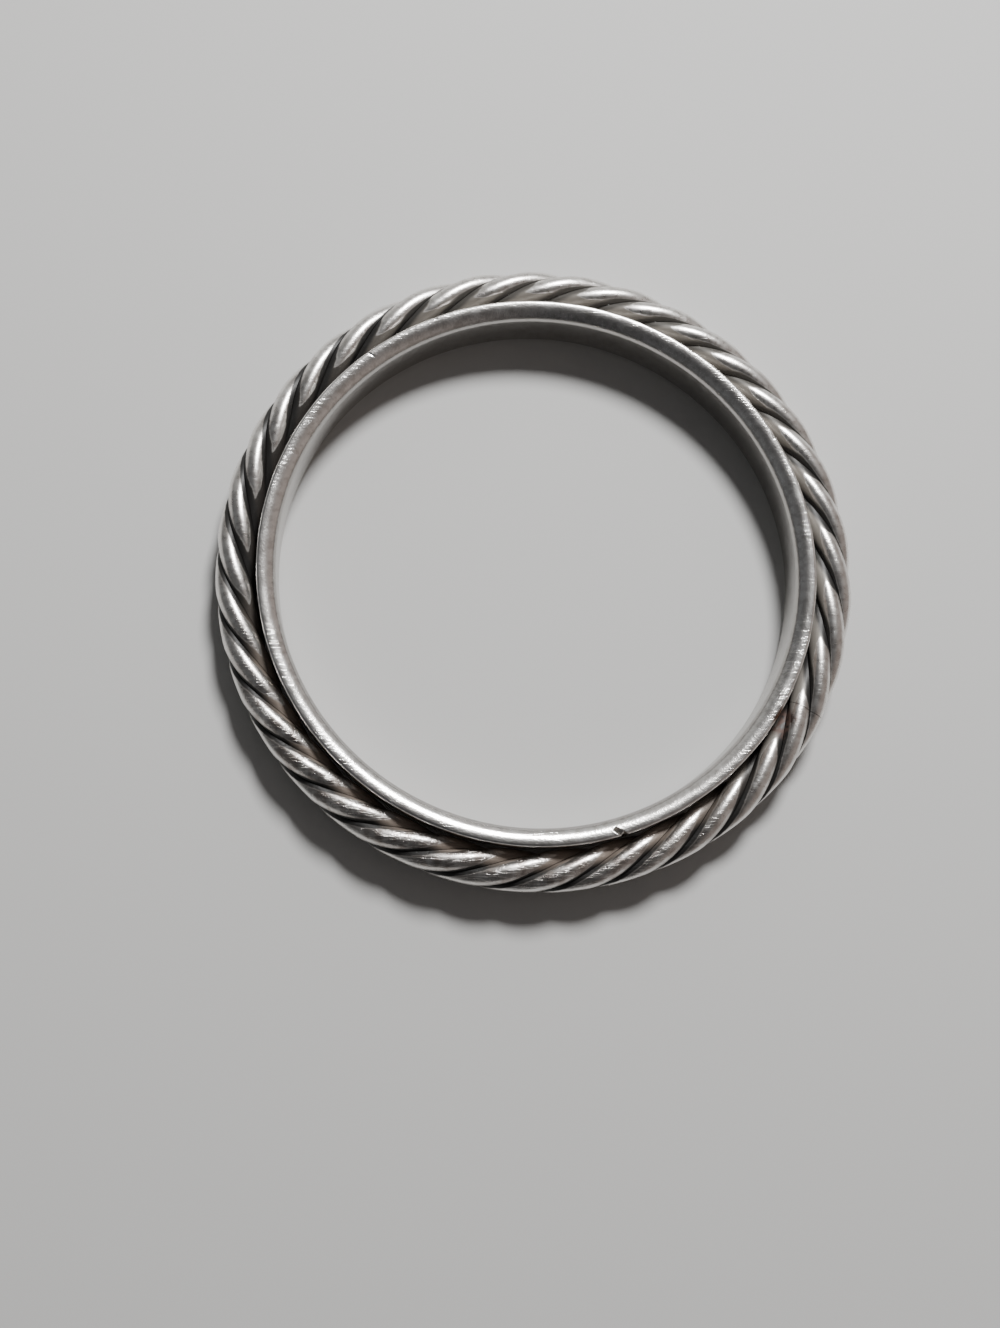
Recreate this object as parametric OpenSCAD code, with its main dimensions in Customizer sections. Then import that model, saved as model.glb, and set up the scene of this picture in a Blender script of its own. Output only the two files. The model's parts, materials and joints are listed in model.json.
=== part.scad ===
// A rope twist band ring: a smooth inner band that touches the finger, with a rope of four
// twisted wire strands laid round the outside of it and soldered down.
// The ring lies on its side. Z is the axis of the finger hole, and Z = 0 is the surface it lies on.

/* [Band] */
// Diameter of the finger hole
hole_d = 18.1; // [15:0.1:22]
// Width of the band along the finger
band_w = 2.3; // [2:0.05:3]
// Thickness of the band between the finger and the rope
band_t = 0.65; // [0.65:0.05:1]
// Rounding of the two edges that meet the finger, across the band's thickness
comfort_w = 0.55; // [0.1:0.05:0.55]
// The same rounding along the finger, where it is shallower
comfort_h = 0.4; // [0.1:0.05:0.55]
// Rounding of the two edges beside the rope
shoulder_r = 0.09; // [0.05:0.01:0.1]

/* [Rope] */
// Thickness of the rope out from the band, before its outside was worn
rope_t = 1.5; // [1.2:0.02:1.8]
// Height of the rope, along the finger
rope_h = 1.6; // [1.2:0.02:2]
// Depth worn off the crests on the outside
worn_depth = 0.06; // [0:0.01:0.1]
// Strand crossings counted once round the ring
crossings = 34; // [28:2:40]
// Turn of the first strand about the rope's middle, where the ring crosses the X axis
lay_start = -12.7; // [-45:0.1:45]
// Radius of a strand's rounded crest, as a share of the rope's half thickness
crest_share = 0.54; // [0.5:0.01:0.7]
// Hollow left in the middle of the rope, as a share of its half thickness
core_share = 0.06; // [0.05:0.01:0.2]
// Where the rope's two ends meet, in degrees from the X axis
joint_at = -28; // [-180:1:180]

/* [Drift of the hand-twisted lay, in degrees of the ring] */
// How far the lay runs ahead and behind once round the ring
drift_once = 2; // [0:0.05:3]
// Where that one runs ahead most
drift_once_at = -115.7; // [-180:0.1:180]
// How far it runs ahead and behind twice round the ring
drift_twice = 0.9; // [0:0.05:2]
// Where that one runs ahead most
drift_twice_at = -58.1; // [-90:0.1:90]
// How far it runs ahead and behind three times round the ring
drift_thrice = 0.75; // [0:0.05:1.5]
// Where that one runs ahead most
drift_thrice_at = -37.8; // [-60:0.1:60]

/* [Solder] */
// Film of solder between two strands
strand_gap = 0.024; // [0.02:0.002:0.05]
// Film of solder between the rope and the band
seat_gap = 0.02; // [0.02:0.01:0.05]
// Film of solder between the two ends of a strand
end_gap = 0.02; // [0.02:0.01:0.1]

/* [Smoothness] */
// Facets of each rounded edge of the band
edge_facets = 12; // [6:2:16]
// Facets of a strand's rounded crest
crest_facets = 8; // [6:2:8]
// Sections along one strand
strand_steps = 170; // [140:10:180]

/* [Hidden] */
silver = "#c9c8c6";
dark_silver = ["#b9b6b1", "#b1aeaa", "#bfbcb8", "#b5b2ae"];

strands = 4;
hole_r = hole_d / 2;
band_r = hole_r + band_t;
mid_z = band_w / 2;
turns = crossings / strands;
half_t = rope_t / 2;
half_h = rope_h / 2;
rope_r = band_r + seat_gap + half_t;
worn_r = rope_r + half_t - worn_depth;
end_angle = end_gap / (2 * PI * rope_r) * 360;

// A strand is a soft round wire, pressed flat where it meets its neighbours, so that it fills a
// quarter of the rope. It is drawn first in a rope of radius 1, with its crest on +X, and is
// stretched to the rope's own thickness and height after it has been turned.
quarter = 360 / strands / 2;
half_gap = strand_gap / 2 / min(half_t, half_h);
crest_x = 1 - crest_share;
crest_turn = quarter + 90 - acos((crest_x * sin(quarter) - half_gap) / crest_share);
strand_shape = [
    [core_share, 0],
    for (k = [0 : crest_facets])
        let (turn = crest_turn * (2 * k / crest_facets - 1))
        [crest_x + crest_share * cos(turn), crest_share * sin(turn)]
];
sides = len(strand_shape);

// Angle of strand i about the rope's own centre line, at angle a round the ring.
function drift(a) =
    drift_once * cos(a - drift_once_at)
    + drift_twice * cos(2 * (a - drift_twice_at))
    + drift_thrice * cos(3 * (a - drift_thrice_at));
function lay(i, a) = lay_start + turns * (a + drift(a)) + 360 * i / strands;

// The points of strand i in the rope's section at angle a round the ring.
function section(i, a) = [
    for (point = strand_shape)
        let (
            p = lay(i, a),
            r = min(worn_r, rope_r + half_t * (point[0] * cos(p) - point[1] * sin(p))),
            z = mid_z + half_h * (point[0] * sin(p) + point[1] * cos(p))
        )
        [r * cos(a), r * sin(a), z]
];

// Two triangles for each side of each step. Facing sides of two strands are split the same way,
// so that their facets stay side by side.
function walls() = [
    for (s = [0 : strand_steps - 1], k = [0 : sides - 1])
        let (
            next = (k + 1) % sides,
            a = s * sides + k,
            b = s * sides + next,
            c = a + sides,
            d = b + sides
        )
        each (k < sides / 2 ? [[a, d, c], [a, b, d]] : [[a, b, c], [b, d, c]])
];
function first_end() = [for (k = [sides - 1 : -1 : 0]) k];
function last_end() = [for (k = [0 : sides - 1]) strand_steps * sides + k];

// The band's section. Its corners come in turn: lower and upper outer, upper and lower inner.
band_section = [
    for (corner = [0 : 3], k = [0 : edge_facets])
        let (
            inner = corner > 1,
            across = inner ? comfort_w : shoulder_r,
            along = inner ? comfort_h : shoulder_r,
            r = inner ? hole_r + across : band_r - across,
            z = corner == 0 || corner == 3 ? along : band_w - along,
            turn = 90 * (corner - 1 + k / edge_facets)
        )
        [r + across * cos(turn), z + along * sin(turn)]
];

module band() {
    color(silver)
        rotate_extrude($fn = 240)
            polygon(band_section);
}

module strand(i) {
    start = joint_at + end_angle / 2;
    step = (360 - end_angle) / strand_steps;
    color(dark_silver[i])
        polyhedron(
            points = [for (s = [0 : strand_steps]) each section(i, start + s * step)],
            faces = concat(walls(), [first_end(), last_end()])
        );
}

band();
strand(0);  // strand_1
strand(1);  // strand_2
strand(2);  // strand_3
strand(3);  // strand_4
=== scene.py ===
import bpy
import json
import math
from mathutils import Matrix, Vector, noise


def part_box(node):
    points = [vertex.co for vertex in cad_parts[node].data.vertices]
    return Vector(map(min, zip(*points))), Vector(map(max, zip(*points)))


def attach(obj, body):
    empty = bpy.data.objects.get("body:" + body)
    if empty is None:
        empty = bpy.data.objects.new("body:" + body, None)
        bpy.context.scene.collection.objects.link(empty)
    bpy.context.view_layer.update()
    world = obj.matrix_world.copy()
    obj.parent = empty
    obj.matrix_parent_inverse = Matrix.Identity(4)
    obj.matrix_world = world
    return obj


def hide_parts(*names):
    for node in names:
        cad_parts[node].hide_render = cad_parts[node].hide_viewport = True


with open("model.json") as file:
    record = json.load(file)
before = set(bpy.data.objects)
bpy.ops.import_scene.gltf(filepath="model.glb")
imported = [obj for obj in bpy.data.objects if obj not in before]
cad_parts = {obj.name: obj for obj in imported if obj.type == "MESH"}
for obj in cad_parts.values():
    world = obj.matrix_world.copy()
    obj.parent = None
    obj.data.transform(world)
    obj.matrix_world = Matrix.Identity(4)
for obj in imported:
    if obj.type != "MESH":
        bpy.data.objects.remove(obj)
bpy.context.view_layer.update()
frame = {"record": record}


# The inner band touches the finger. It is a flat silver strip, bent round, soldered and filed, with
# its two finger edges well rounded. Years of wear have scratched it and dented its outer corners.
mm = 0.001
tolerance = 0.001 * mm
smooth_angle = math.radians(40)
hole_r = frame["record"]["mounts"][0]["dims"]["r_mm"] * mm
band_low, band_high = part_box("band")
band_r = band_high[0]
band_w = band_high[2] - band_low[2]
wall_mid = (hole_r + band_r) / 2
mid_z = (band_low[2] + band_high[2]) / 2
comfort_w = 0.55 * mm
comfort_h = 0.4 * mm
comfort_facets = 18
shoulder_r = 0.09 * mm
shoulder_facets = 5
steps_round = 540
dent_margin = 0.12 * mm
dent_lean = 0.6
relief_depth = 0.006 * mm

bright_silver = (0.88, 0.86, 0.835, 1)
rubbed_silver = (0.78, 0.755, 0.725, 1)
dulled_silver = (0.50, 0.475, 0.45, 1)
bore_painted_shade = (0.36, 0.345, 0.33, 1)
brown_stain = (0.16, 0.095, 0.065, 1)
stain_at = math.radians(-32.5)


def apply_place(piece):
    """Selects one piece alone, and puts its place, turn and scale into its mesh."""
    bpy.ops.object.select_all(action="DESELECT")
    piece.select_set(True)
    bpy.context.view_layer.objects.active = piece
    bpy.ops.object.transform_apply(location=True, rotation=True, scale=True)


def pick_vertices(piece, wanted=lambda place: True):
    """Opens a piece in edit mode, with those of its vertices selected whose place is wanted."""
    bpy.ops.object.mode_set(mode="OBJECT")
    for vertex in piece.data.vertices:
        vertex.select = wanted(vertex.co)
    for edge in piece.data.edges:
        edge.select = all(piece.data.vertices[i].select for i in edge.vertices)
    for face in piece.data.polygons:
        face.select = all(piece.data.vertices[i].select for i in face.vertices)
    bpy.ops.object.mode_set(mode="EDIT")
    bpy.ops.mesh.select_mode(type="VERT")


# The rounding of the finger edges is wider than it is high, so it is bevelled on a section that is
# drawn out along the finger, and then the section is pressed back to its width.
bpy.ops.object.select_all(action="DESELECT")
bpy.ops.mesh.primitive_plane_add(size=1, location=(wall_mid, 0, 0), rotation=(math.pi / 2, 0, 0))
band = bpy.context.object
band.name = "inner_band"
band.scale = (band_r - hole_r, band_w * comfort_w / comfort_h, 1)
apply_place(band)
pick_vertices(band, lambda place: place.x < wall_mid)
bpy.ops.mesh.bevel(offset=comfort_w, segments=comfort_facets, affect="VERTICES")
bpy.ops.object.mode_set(mode="OBJECT")
band.scale = (1, 1, comfort_h / comfort_w)
band.location = (0, 0, mid_z)
apply_place(band)
pick_vertices(band, lambda place: place.x > band_r - tolerance)
bpy.ops.mesh.bevel(offset=shoulder_r, segments=shoulder_facets, affect="VERTICES")
bpy.ops.mesh.select_all(action="SELECT")
bpy.ops.mesh.delete(type="ONLY_FACE")
bpy.ops.mesh.select_all(action="SELECT")
bpy.ops.mesh.spin(steps=steps_round, angle=math.tau, center=(0, 0, 0), axis=(0, 0, 1))
bpy.ops.mesh.select_all(action="SELECT")
bpy.ops.mesh.remove_doubles(threshold=tolerance)
bpy.ops.mesh.normals_make_consistent(inside=False)
bpy.ops.object.mode_set(mode="OBJECT")


def dent(clock, inset, slant, length, width, depth):
    """A dent near the band's upper outer edge, at a clock angle. Slant turns it from the radius."""
    angle = math.radians(90 - clock)
    radial = Vector((math.cos(angle), math.sin(angle), 0))
    up = Vector((0, 0, 1))
    centre = radial * (band_r - inset) + up * band_high[2]
    along = Matrix.Rotation(math.radians(slant), 3, "Z") @ radial
    across = along.cross(up)
    push = (-up - radial * dent_lean).normalized() * depth
    reach = length + dent_margin
    pick_vertices(band, lambda place: (place - centre).length < reach)
    bpy.ops.mesh.subdivide(number_cuts=5, smoothness=1)
    bpy.ops.object.mode_set(mode="OBJECT")
    for vertex in band.data.vertices:
        away = vertex.co - centre
        t, s = away.dot(along) / length, away.dot(across) / width
        if away.length < reach and abs(t) < 1 and abs(s) < 1:
            vertex.co += push * (1 - t * t) * (1 - s * s) ** 2


# Each row is one dent. Its clock angle and its slant are in degrees, the rest in millimetres.
dents = (
    (164.0, 0.10, 45, 0.30, 0.11, 0.18),
    (60.3, 0.03, 80, 0.14, 0.10, 0.035),
    (52.7, 0.02, 75, 0.12, 0.08, 0.025),
    (35.0, 0.02, 95, 0.14, 0.08, 0.03),
    (338.0, 0.03, 60, 0.12, 0.09, 0.03),
    (322.0, 0.10, 20, 0.20, 0.05, 0.02),
)
for clock, inset, slant, length, width, depth in dents:
    dent(clock, inset * mm, slant, length * mm, width * mm, depth * mm)


class Term:
    """A value in a recipe. Sums, products and powers of it add Math nodes."""

    def __init__(self, recipe, socket):
        self.recipe = recipe
        self.socket = socket

    def math(self, operation, *values):
        return self.recipe.node("ShaderNodeMath", {"operation": operation}, dict(enumerate(values)))

    def __add__(self, other):
        return self.math("ADD", self, other)

    __radd__ = __add__

    def __sub__(self, other):
        return self.math("SUBTRACT", self, other)

    def __rsub__(self, other):
        return self.math("SUBTRACT", other, self)

    def __neg__(self):
        return 0 - self

    def __mul__(self, other):
        return self.math("MULTIPLY", self, other)

    __rmul__ = __mul__

    def __truediv__(self, other):
        return self.math("DIVIDE", self, other)

    def __rtruediv__(self, other):
        return self.math("DIVIDE", other, self)

    def __pow__(self, other):
        return self.math("POWER", self, other)

    def __abs__(self):
        return self.math("ABSOLUTE", self)


class Recipe:
    """The nodes of one finish, or of the light of the room."""

    def __init__(self, tree):
        self.tree = tree

    def feed(self, node, sockets):
        for key, value in sockets.items():
            if isinstance(value, Term):
                self.tree.links.new(value.socket, node.inputs[key])
            else:
                node.inputs[key].default_value = value

    def node(self, kind, settings, sockets, output=0):
        made = self.tree.nodes.new(kind)
        for key, value in settings.items():
            setattr(made, key, value)
        self.feed(made, sockets)
        return Term(self, made.outputs[output])

    def parts(self, place):
        separate = self.node("ShaderNodeSeparateXYZ", {}, {"Vector": place}).socket.node
        return [Term(self, part) for part in separate.outputs]

    def rise(self, term, low, high):
        """Goes smoothly from 0 to 1 as a value goes from low to high."""
        sockets = {"Value": term, "From Min": low, "From Max": high}
        return self.node("ShaderNodeMapRange", {"interpolation_type": "SMOOTHSTEP"}, sockets)

    def blend(self, factor, first, second):
        """Mixes two colours. The numbers are the places of a Mix node's sockets for colours."""
        factor_at, first_at, second_at, result_at = 0, 6, 7, 2
        sockets = {factor_at: factor, first_at: first, second_at: second}
        return self.node("ShaderNodeMix", {"data_type": "RGBA"}, sockets, result_at)

    def grain(self, place, scale, detail):
        """Soft cloudy grains, about as many of them to a metre as scale says."""
        sockets = {"Vector": place, "Scale": scale, "Detail": detail}
        return self.node("ShaderNodeTexNoise", {}, sockets)

    def scratches(self, place, direction, scale):
        """Thin lines, where a grain that is drawn out in one direction has its middle value."""
        sockets = {"Vector": place, "Rotation": (0, 0, direction), "Scale": (1, 7, 1)}
        drawn_out = self.node("ShaderNodeMapping", {}, sockets)
        return 1 - self.rise(abs(self.grain(drawn_out, scale, 0) - 0.5), 0.004, 0.022)


class Finish(Recipe):
    """A material with its shader."""

    def __init__(self, name):
        self.material = bpy.data.materials.new(name)
        self.material.use_nodes = True
        super().__init__(self.material.node_tree)
        self.shader = self.tree.nodes["Principled BSDF"]


class Metal(Finish):
    """The finish of a piece of the ring, with the place of a point, its radius and its turn."""

    def __init__(self, name):
        super().__init__(name)
        self.place = self.node("ShaderNodeTexCoord", {}, {}, "Object")
        self.x, self.y, self.z = self.parts(self.place)
        self.from_axis = (self.x * self.x + self.y * self.y) ** 0.5
        self.turn = self.x.math("ARCTAN2", self.y, self.x)

    def emboss(self, relief, strength):
        sockets = {"Strength": strength, "Distance": relief_depth, "Height": relief}
        self.feed(self.shader, {"Normal": self.node("ShaderNodeBump", {}, sockets)})


silver = Metal("worn_silver")
rub = silver.grain(silver.place, 2400, 4)
pitting = silver.grain(silver.place, 14000, 2)
dull = silver.rise(silver.grain(silver.place, 4600, 4), 0.46, 0.64) * 0.45
cut = silver.scratches(silver.place, 0.6, 900) + silver.scratches(silver.place, -0.9, 700)
cut = cut * silver.rise(silver.grain(silver.place, 700, 1), 0.30, 0.70)
corner = silver.rise(silver.from_axis, band_r - 0.12 * mm, band_r - 0.02 * mm)
inside = 1 - silver.rise(silver.from_axis, hole_r + 0.05 * mm, hole_r + 0.15 * mm)
stained = 1 - silver.rise(abs(silver.turn - stain_at), 0.012, 0.05)
stain_edge = silver.from_axis + rub * (0.2 * mm)
stained = stained * silver.rise(stain_edge, band_r - 0.08 * mm, band_r + 0.04 * mm)
tone = silver.blend(silver.rise(rub, 0.35, 0.7), rubbed_silver, bright_silver)
tone = silver.blend(dull, tone, dulled_silver)
# Painted shade: the bore's edge is darkened, which dims the lit floor that it mirrors; the bore is
# also a little rougher.
tone = silver.blend(inside * 0.7, tone, bore_painted_shade)
silver.feed(silver.shader, {
    "Base Color": silver.blend(stained, tone, brown_stain),
    "Metallic": 1,
    "Roughness": 0.16 + rub * 0.09 + corner * 0.05 + inside * 0.04,
})
silver.emboss(cut * -0.22 + pitting, 0.8)


def finish_piece(piece, finish, node):
    """Gives a piece its finish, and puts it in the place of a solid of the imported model."""
    piece.data.materials.append(finish.material)
    apply_place(piece)
    bpy.ops.object.shade_smooth_by_angle(angle=smooth_angle)
    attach(piece, "root")
    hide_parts(node)


finish_piece(band, silver, "band")


# The rope is four soft silver wires twisted hard together, so that they press flat where they meet,
# bent round the band and soldered down. The outside is worn smooth, and patina fills the grooves.
half_t = 0.75 * mm
half_h = 0.80 * mm
seat_gap = 0.02 * mm
strand_gap = 0.024 * mm
end_gap = 0.01 * mm
crest_share = 0.54
worn_depth = 0.06 * mm
crossings = 34
strands = 4
lay_start = math.radians(-12.7)
joint_at = math.radians(-28)
turns = crossings / strands
rope_r = band_r + seat_gap + half_t
rope_length = math.tau * rope_r
worn_r = rope_r + half_t - worn_depth
outer_part = rope_r - 0.4 * half_t
back_x, back_y = 0.34, 0.94

wire_facets = 40
steps_a_crossing = 24
circle_steps = 128
drift_rounds = 4
wear_rest = 0.1
uneven = 0.012 * mm
uneven_seed = 1
wear_span = 1.6 * mm
wobble_span = 1.1 * mm

crest_bright = (0.86, 0.84, 0.81, 1)
crest_grey = (0.66, 0.63, 0.60, 1)
outer_polish = (0.88, 0.86, 0.83, 1)
brown_tarnish = (0.33, 0.29, 0.265, 1)
flank_painted_shade = (0.26, 0.235, 0.215, 1)
groove_black = (0.016, 0.015, 0.014, 1)
groove_light_back = (0.065, 0.060, 0.053, 1)
valley_shade_left = (0.030, 0.026, 0.023, 1)
valley_light_right = (0.20, 0.185, 0.165, 1)
valley_light_back = (0.17, 0.155, 0.135, 1)
tan_painted_light = (0.25, 0.205, 0.17, 1)
red_stain = (0.085, 0.050, 0.040, 1)

# Where a point lies in the section of the rope, whose outline is at 1, and on which side of the
# ring it is.
wire = Metal("blackened_silver")
height = (wire.z - mid_z) / half_h
outward = (wire.from_axis - rope_r) / half_t
from_core = (outward * outward + height * height) ** 0.5
back = (wire.x * back_x + wire.y * back_y) / wire.from_axis
right = wire.x / wire.from_axis
front = wire.rise(-back, 0.35, 0.85)
front_left = 1 - wire.rise(back + right * 0.6, -0.1, 0.5)
speck = wire.grain(wire.place, 5200, 3)
specked = speck - 0.5
cloud = wire.grain(wire.place, 1100, 3)
clouded = cloud - 0.5

# Patina lies in the rope up to a limit, which is lower where the rope was rubbed.
rubbed_at = wire.from_axis - back * (0.13 * mm) + front * (0.06 * mm) + clouded * (0.12 * mm)
limit = 1.03 - wire.rise(rubbed_at, rope_r - 0.50 * mm, rope_r - 0.34 * mm) * 0.10
outer_wear = wire.rise(rubbed_at, rope_r - 0.31 * mm, rope_r + 0.25 * mm)
limit = limit - outer_wear * (0.15 - front_left * 0.09)
patina = 1 - wire.rise(from_core + specked * 0.04 - limit, -0.02, 0.02)
# Painted light and shade on the real patina: its tone changes round the ring, the valleys nearly
# black on the left, lighter grey on the right and at the back, and the deepest grooves lighter at
# the back.
groove = wire.blend(wire.rise(back, 0.55, 0.95), groove_black, groove_light_back)
valley = wire.blend(wire.rise(right, -0.3, 0.4), valley_shade_left, valley_light_right)
valley = wire.blend(wire.rise(back, 0.3, 0.9), valley, valley_light_back)
patina_and_painted_light = wire.blend(wire.rise(from_core + clouded * 0.08, 0.86, 0.95), groove, valley)
# Painted light: near the band at the front, the patina is lightened to tan.
patina_and_painted_light = wire.blend(front * wire.rise(clouded * 0.5 - outward, -0.10, 0.50), patina_and_painted_light, tan_painted_light)

# The metal above the patina is tarnished, browner and darker to the front, and polished at the very
# outside.
tone = wire.blend(wire.rise(speck, 0.35, 0.62), crest_grey, crest_bright)
tarnish = wire.rise(wire.grain(wire.place, 2600, 5), 0.44, 0.64)
tone = wire.blend(tarnish * (0.3 + front * 0.4) + front * 0.25, tone, brown_tarnish)
# Painted shade: each wire's flanks, away from its crest, are darkened, less at the back and on the
# outer part away from the front left.
flank_shade = 1 - wire.rise(from_core + specked * 0.05, 0.84, 0.97)
flank_shade = flank_shade * (0.75 - wire.rise(back, 0.1, 0.9) * 0.4)
flank_shade = flank_shade * (1 - wire.rise(outward, -0.1, 0.5) * (1 - front_left) * 0.8)
tone = wire.blend(flank_shade, tone, flank_painted_shade)
tone = wire.blend(wire.rise(outward + clouded * 0.1, 0.66, 0.84) * 0.8, tone, outer_polish)

# At the joint, a stain from the soldering lies over both.
stained = 1 - wire.rise(abs(wire.turn - stain_at) + clouded * 0.06, 0.025, 0.06)
stained = stained * wire.rise(clouded * 0.6 - outward, 0.0, 0.25)
stained = stained * wire.rise(speck + cloud * 0.5, 0.54, 0.76) * 0.9
wire.feed(wire.shader, {
    "Base Color": wire.blend(stained, wire.blend(patina, tone, patina_and_painted_light), red_stain),
    "Metallic": 1 - patina * 0.7,
    "Roughness": 0.23 + speck * 0.12 + patina * 0.18 + stained * 0.15,
})
pits = wire.rise(wire.grain(wire.place, 8500, 1), 0.32, 0.44)
scuff = wire.scratches(wire.place, 0.3, 1100) + wire.scratches(wire.place, 1.7, 1000)
wire.emboss((pits * 0.9 + speck * 0.8 - scuff * 0.7) * (0.3 + front * 0.7), 0.6)

# Each row is one wave of the drift: how many there are round the ring, how far it runs ahead at
# most, and where, in degrees.
drifts = (
    (1, 2.0, -115.7),
    (2, 0.9, -58.1),
    (3, 0.75, -37.8),
)


def drift(angle):
    """How far the hand-twisted lay runs ahead, at an angle round the ring."""
    ahead = 0
    for times_round, most, most_at in drifts:
        ahead += most * math.cos(times_round * (angle - math.radians(most_at)))
    return math.radians(ahead)


def cut_wire(name):
    """The section of one wire, whose two sides are flat where it meets its neighbours."""
    bpy.ops.object.select_all(action="DESELECT")
    bpy.ops.mesh.primitive_circle_add(
        vertices=wire_facets,
        radius=crest_share,
        fill_type="NGON",
        location=(1 - crest_share, 0, 0),
    )
    section = bpy.context.object
    section.name = name
    apply_place(section)
    sides_meet = (strand_gap / 2 / half_t * math.sqrt(2), 0, 0)
    for side in (-1, 1):
        pick_vertices(section)
        bpy.ops.mesh.bisect(plane_co=sides_meet, plane_no=(-1, side, 0), clear_outer=True)
    pick_vertices(section)
    bpy.ops.mesh.delete(type="ONLY_FACE")
    bpy.ops.object.mode_set(mode="OBJECT")
    return section


def twist(strand, lay):
    """Turns a section to its lay in the rope, and twists it into a straight wire along X."""
    strand.rotation_euler = (0, 0, lay + math.pi / 2)
    apply_place(strand)
    screw = strand.modifiers.new("lay", "SCREW")
    screw.axis = "Z"
    screw.angle = -math.tau * turns * (1 - end_gap / rope_length)
    screw.screw_offset = rope_length - end_gap
    screw.steps = screw.render_steps = crossings * steps_a_crossing
    bpy.ops.object.modifier_apply(modifier="lay")
    strand.scale = (half_h, half_t, 1)
    apply_place(strand)
    strand.rotation_euler = (0, math.pi / 2, 0)
    strand.location = (end_gap / 2, 0, 0)
    apply_place(strand)


def bend_round(strand, start_angle):
    """Bends a straight wire once round the band, from the joint and back to it."""
    bpy.ops.curve.primitive_bezier_circle_add(radius=rope_r, location=(0, 0, 0))
    circle = bpy.context.object
    circle.data.resolution_u = circle_steps
    bpy.context.view_layer.objects.active = strand
    bend = strand.modifiers.new("bend", "CURVE")
    bend.object = circle
    bend.deform_axis = "POS_X"
    bpy.ops.object.modifier_apply(modifier="bend")
    bpy.data.objects.remove(circle)
    strand.location = (0, 0, mid_z)
    strand.rotation_euler = (0, 0, start_angle + math.pi / 2)
    apply_place(strand)


def wear_down(strand):
    """Gives a wire the drift of its lay, wears its outside down and makes it a little uneven."""
    for vertex in strand.data.vertices:
        even = math.atan2(vertex.co.y, vertex.co.x)
        angle = even
        for _ in range(drift_rounds):
            angle = even - drift(angle)
        vertex.co = Matrix.Rotation(angle - even, 3, "Z") @ vertex.co
        out = vertex.co.xy.length
        local_wear = worn_r + uneven * noise.noise(vertex.co / wear_span)
        if out > local_wear:
            out = local_wear + wear_rest * (out - local_wear)
            vertex.co.xy *= out / vertex.co.xy.length
        wobble = uneven * noise.noise_vector(vertex.co / wobble_span)
        if out > outer_part:
            vertex.co.xy *= 1 + 0.5 * (wobble.x - uneven) / out
        vertex.co.z += wobble.z


noise.seed_set(uneven_seed)
start_angle = joint_at + drift(joint_at)
first_lay = lay_start + turns * (start_angle + math.tau)
for number in range(strands):
    strand = cut_wire(f"rope_strand_{number + 1}")
    twist(strand, first_lay + math.tau * number / strands)
    bend_round(strand, start_angle)
    wear_down(strand)
    pick_vertices(strand)
    bpy.ops.mesh.fill_holes(sides=0)
    bpy.ops.mesh.select_all(action="SELECT")
    bpy.ops.mesh.normals_make_consistent(inside=False)
    bpy.ops.object.mode_set(mode="OBJECT")
    finish_piece(strand, wire, f"strand_{number + 1}")


# The ring lies by itself on a pale, matt, flat surface, which isn't part of it. The surface is wide
# enough to fill the picture from any side.
bpy.ops.object.select_all(action="DESELECT")
bpy.ops.mesh.primitive_circle_add(vertices=96, radius=0.6, fill_type="NGON", location=(0, 0, 0))
floor = bpy.context.object
floor.name = "pale_surface"
pale = Finish("pale_surface")
pale.feed(pale.shader, {"Base Color": (0.535, 0.532, 0.522, 1), "Roughness": 0.7})
floor.data.materials.append(pale.material)


# Soft studio light: one lamp above and behind, a pale glow beyond it, a warmer one on the right, and
# an otherwise dark room, which the polished metal mirrors.
lamp_direction = Vector((0.193, 0.595, 0.780))
lamp_distance = 0.16
dark_room = (0.05, 0.05, 0.052, 1)
warm_glow = (0.33, 0.29, 0.27, 1)
cool_glow = (0.16, 0.165, 0.17, 1)
pale_glow = (0.50, 0.50, 0.49, 1)

lamp = bpy.data.lights.new("main_lamp", "AREA")
lamp.shape = "DISK"
lamp.energy = 0.43
lamp.size = 0.042
lamp_holder = bpy.data.objects.new("main_lamp", lamp)
lamp_holder.location = lamp_direction * lamp_distance
lamp_holder.rotation_euler = lamp_holder.location.to_track_quat("Z", "Y").to_euler()
bpy.context.collection.objects.link(lamp_holder)

world = bpy.data.worlds.new("room")
world.use_nodes = True
room = Recipe(world.node_tree)
east, north, _ = room.parts(room.node("ShaderNodeTexCoord", {}, {}, "Generated"))
light = room.blend(room.rise(east, 0.0, 0.9), dark_room, warm_glow)
light = room.blend(room.rise(-east, 0.1, 0.9) * 0.6, light, cool_glow)
light = room.blend(room.rise(north, 0.45, 0.85), light, pale_glow)
room.feed(room.tree.nodes["Background"], {"Color": light})
bpy.context.scene.world = world


# The camera looks down on the ring, from near enough for its own perspective, and stands a little
# to its front left. The picture's size, the ring's middle in it and the focal length are in pixels.
picture_w = 1000
picture_h = 1328
ring_at = (536.7, 572.5)
focal = 1564
distance = 55 * mm
lean = math.radians(11.6)
bearing = math.radians(19.7)

camera_data = bpy.data.cameras.new("camera")
camera_data.sensor_fit = "HORIZONTAL"
camera_data.sensor_width = 36
camera_data.lens = camera_data.sensor_width * focal / picture_w
camera_data.clip_start = 0.001
camera = bpy.data.objects.new("camera", camera_data)
turn = Matrix.Rotation(lean, 3, Vector((math.cos(bearing), -math.sin(bearing), 0)))
aside = (ring_at[0] - picture_w / 2) / focal
above = (picture_h / 2 - ring_at[1]) / focal
offset = Vector((aside, above, -1)) * distance
camera.location = Vector((0, 0, mid_z)) - turn @ offset
camera.rotation_euler = turn.to_euler()
bpy.context.collection.objects.link(camera)
bpy.context.scene.camera = camera
